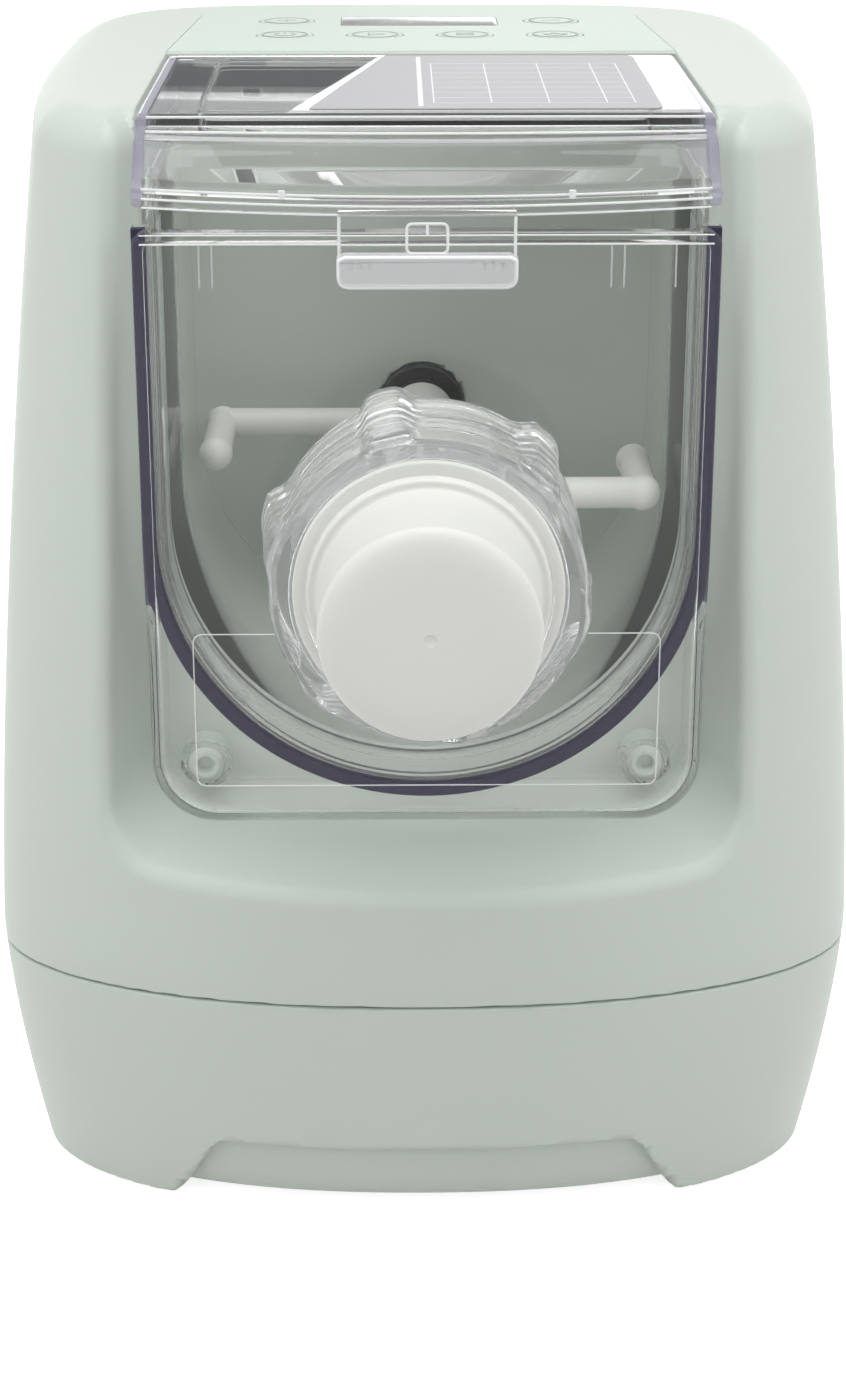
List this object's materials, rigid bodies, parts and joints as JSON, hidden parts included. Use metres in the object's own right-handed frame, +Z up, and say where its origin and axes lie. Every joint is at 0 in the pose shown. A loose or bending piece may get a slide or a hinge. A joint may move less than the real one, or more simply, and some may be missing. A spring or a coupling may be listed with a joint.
{
  "type": "electric pasta maker",
  "caption": "Countertop electric pasta maker with a clear mixing bay, geared motor drive, screw auger, downward noodle nozzle, hinged clear lid and push keys.",
  "frame": {"origin": "middle of the bounding box, on the surface it stands on", "axes": "+X to the right seen from the front, +Y to the back, +Z up; the nozzle points along -Y"},
  "size_m": [0.235, 0.318, 0.2846],
  "materials": {
    "sage_abs": "satin moulded ABS",
    "mint_abs": "gloss moulded ABS",
    "clear_plastic": "clear moulded AS resin",
    "frosted_film": "frosted film",
    "smoke_plastic": "tinted display window",
    "navy_rubber": "moulded silicone",
    "white_pom": "white moulded acetal",
    "black_rubber": "moulded rubber",
    "black_plastic": "moulded nylon",
    "steel": "turned steel",
    "zinc_casting": "cast housing",
    "gear_nylon": "moulded gear nylon",
    "brass": "hobbed brass",
    "copper_winding": "wound and laminated core",
    "circuit_board": "solder-masked board"
  },
  "bodies": {
    "machine": {"upper_housing": "sage_abs", "base_shell": "sage_abs", "bottom_pan": "sage_abs", "rubber_feet": "black_rubber", "control_panel": "mint_abs", "display_window": "smoke_plastic", "display_module": "black_plastic", "key_switches": "black_plastic", "control_board": "circuit_board", "mixing_chamber": "clear_plastic", "chamber_gasket": "navy_rubber", "front_panel": "clear_plastic", "locating_posts": "sage_abs", "interlock_window": "black_plastic", "lid_sensor": "circuit_board", "shaft_seal": "black_rubber", "shaft_bearings": "steel", "gearbox_housing": "zinc_casting", "gearbox_cover": "zinc_casting", "idler_shaft": "steel", "motor_case": "steel", "motor_magnets": "black_plastic", "motor_end_caps": "zinc_casting", "power_board": "circuit_board", "board_components": "black_plastic", "power_inlet": "black_plastic", "inlet_pins": "brass", "body_screws": "steel", "gearbox_screws": "steel", "board_screws": "steel"},
    "lid": {"lid": "clear_plastic", "lid_label": "frosted_film", "lid_hinge_pins": "steel", "lid_magnet": "steel"},
    "stirrer": {"auger_screw": "white_pom", "mixing_paddle": "white_pom", "drive_shaft": "steel", "output_gear": "gear_nylon"},
    "idler": {"idler_gear": "gear_nylon"},
    "rotor": {"motor_shaft": "steel", "rotor_core": "copper_winding", "motor_pinion": "brass", "motor_fan": "black_plastic"},
    "nozzle": {"nozzle_head": "white_pom", "die_plate": "white_pom"},
    "ring_nut": {"ring_nut": "clear_plastic"},
    "key_power": {"key_power": "mint_abs"},
    "key_start": {"key_start": "mint_abs"},
    "key_program": {"key_program": "mint_abs"},
    "key_dough": {"key_dough": "mint_abs"},
    "key_plus": {"key_plus": "mint_abs"},
    "key_minus": {"key_minus": "mint_abs"}
  },
  "joints": [
    {"name": "lid_hinge", "type": "hinge", "parent": "machine", "child": "lid", "pos_m": [0, 0.038, 0.2802], "axis": [-1, 0, 0], "range_deg": [0, 88]},
    {"name": "stirrer_turn", "type": "hinge", "parent": "machine", "child": "stirrer", "pos_m": [0, -0.089, 0.186], "axis": [0, 1, 0], "continuous": true},
    {"name": "idler_turn", "type": "hinge", "parent": "machine", "child": "idler", "pos_m": [-0.03599, -0.089, 0.14574], "axis": [0, 1, 0], "continuous": true},
    {"name": "rotor_turn", "type": "hinge", "parent": "machine", "child": "rotor", "pos_m": [-0.00801, -0.089, 0.12309], "axis": [0, 1, 0], "continuous": true},
    {"name": "nozzle_out", "type": "slide", "parent": "machine", "child": "nozzle", "axis": [0, -1, 0], "range_m": [0, 0.012]},
    {"name": "nut_turn", "type": "hinge", "parent": "nozzle", "child": "ring_nut", "pos_m": [0, -0.109, 0.186], "axis": [0, -1, 0], "range_deg": [0, 345]},
    {"name": "key_power_press", "type": "slide", "parent": "machine", "child": "key_power", "axis": [0, 0, -1], "range_m": [0, 0.0008], "stiffness_N_per_m": 500},
    {"name": "key_start_press", "type": "slide", "parent": "machine", "child": "key_start", "axis": [0, 0, -1], "range_m": [0, 0.0008], "stiffness_N_per_m": 500},
    {"name": "key_program_press", "type": "slide", "parent": "machine", "child": "key_program", "axis": [0, 0, -1], "range_m": [0, 0.0008], "stiffness_N_per_m": 500},
    {"name": "key_dough_press", "type": "slide", "parent": "machine", "child": "key_dough", "axis": [0, 0, -1], "range_m": [0, 0.0008], "stiffness_N_per_m": 500},
    {"name": "key_plus_press", "type": "slide", "parent": "machine", "child": "key_plus", "axis": [0, 0, -1], "range_m": [0, 0.0008], "stiffness_N_per_m": 500},
    {"name": "key_minus_press", "type": "slide", "parent": "machine", "child": "key_minus", "axis": [0, 0, -1], "range_m": [0, 0.0008], "stiffness_N_per_m": 500}
  ],
  "couplings": [
    {"joint": "idler_turn", "follows": "stirrer_turn", "ratio": -5},
    {"joint": "rotor_turn", "follows": "stirrer_turn", "ratio": 25},
    {"joint": "nut_turn", "follows": "nozzle_out", "rad_per_m": 500}
  ]
}
